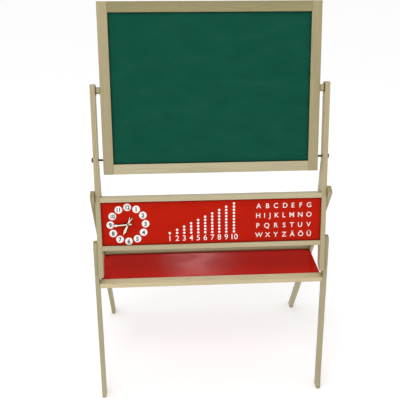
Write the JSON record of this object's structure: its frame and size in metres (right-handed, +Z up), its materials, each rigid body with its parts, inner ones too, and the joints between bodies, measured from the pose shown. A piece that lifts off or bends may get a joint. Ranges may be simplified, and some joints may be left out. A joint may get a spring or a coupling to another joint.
{
  "type": "kids easel",
  "caption": "Wooden standing kids easel: a framed chalk board swivels between leaning uprights over a learning panel with toy clock, with folding rear legs and a lift-up tray.",
  "frame": {"origin": "on the floor, under the centre of the easel's bounding box", "axes": "+Z up, -Y towards the child in front, +X to the right as seen from the front"},
  "size_m": [0.6778, 0.4558, 1.1344],
  "materials": {
    "board_wood": "satin clear lacquer over pale hardwood",
    "upright_wood": "satin clear lacquer over pale hardwood",
    "leg_wood": "satin clear lacquer over pale hardwood",
    "tray_wood": "satin clear lacquer over pale hardwood",
    "info_wood": "satin clear lacquer over pale hardwood",
    "turned_wood": "satin clear lacquer, turned",
    "dowel_wood": "plain",
    "chalk_green": "matte green chalk paint on hardboard",
    "marker_white": "gloss white marker surface on hardboard",
    "panel_red": "satin red lacquer with white print on hardboard",
    "tray_red": "gloss red lacquer on hardboard",
    "brass": "turned",
    "knob_brown": "moulded, low gloss",
    "hand_cream": "smooth moulded",
    "hub_olive": "smooth moulded",
    "dark_steel": "burnished dark",
    "steel": "zinc plated"
  },
  "bodies": {
    "stand": {"clock_cap": "hub_olive", "clock_pin": "steel", "clock_washer": "steel", "fold_bolts": "steel", "fold_inserts": "brass", "info_bottom_rail": "info_wood", "info_panel": "panel_red", "info_rail_screws": "steel", "info_top_rail": "info_wood", "left_front_leg": "leg_wood", "left_pivot_block": "upright_wood", "left_upright": "upright_wood", "leg_screws": "steel", "lock_inserts": "brass", "long_leg_screws": "steel", "pivot_bolts": "steel", "pivot_spacers": "turned_wood", "pivot_washers": "dark_steel", "right_front_leg": "leg_wood", "right_pivot_block": "upright_wood", "right_upright": "upright_wood", "tray_pivot_screws": "steel"},
    "board": {"left_board_stile": "board_wood", "right_board_stile": "board_wood", "board_top_rail": "board_wood", "board_bottom_rail": "board_wood", "chalk_panel": "chalk_green", "marker_panel": "marker_white", "board_dowels": "dowel_wood", "board_bushings": "brass"},
    "left_lock": {"left_lock_screw": "dark_steel", "left_lock_knob": "knob_brown"},
    "right_lock": {"right_lock_screw": "dark_steel", "right_lock_knob": "knob_brown"},
    "left_back_leg": {"left_rear_leg": "leg_wood", "left_catch_peg": "steel"},
    "right_back_leg": {"right_rear_leg": "leg_wood", "right_catch_peg": "steel"},
    "tray": {"tray_front_rail": "tray_wood", "tray_rear_rail": "tray_wood", "tray_panel": "tray_red"},
    "hour": {"hour_hand": "hand_cream"},
    "minute": {"minute_hand": "hand_cream"}
  },
  "joints": [
    {"name": "board_swivel", "type": "hinge", "parent": "stand", "child": "board", "pos_m": [0, -0.03475, 0.91], "axis": [1, 0, 0], "continuous": true},
    {"name": "left_lock_slide", "type": "slide", "parent": "stand", "child": "left_lock", "axis": [-1, 0, 0], "range_m": [0, 0.01]},
    {"name": "right_lock_slide", "type": "slide", "parent": "stand", "child": "right_lock", "axis": [1, 0, 0], "range_m": [0, 0.01]},
    {"name": "left_rear_fold", "type": "hinge", "parent": "stand", "child": "left_back_leg", "pos_m": [-0.333, -0.10495, 0.609], "axis": [-1, 0, 0], "range_deg": [0, 26]},
    {"name": "right_rear_fold", "type": "hinge", "parent": "stand", "child": "right_back_leg", "pos_m": [0.333, -0.10495, 0.609], "axis": [-1, 0, 0], "range_deg": [0, 26]},
    {"name": "tray_lift", "type": "hinge", "parent": "stand", "child": "tray", "pos_m": [0, -0.15435, 0.3685], "axis": [1, 0, 0], "range_deg": [0, 66]},
    {"name": "hour_hand_turn", "type": "hinge", "parent": "stand", "child": "hour", "pos_m": [-0.238, -0.13433, 0.55195], "axis": [0, 0.9703, -0.2419], "continuous": true},
    {"name": "minute_hand_turn", "type": "hinge", "parent": "stand", "child": "minute", "pos_m": [-0.238, -0.13433, 0.55195], "axis": [0, 0.9703, -0.2419], "continuous": true}
  ],
  "couplings": [
    {"joint": "right_rear_fold", "follows": "left_rear_fold", "ratio": 1},
    {"joint": "tray_lift", "follows": "left_rear_fold", "ratio": 2.53}
  ]
}
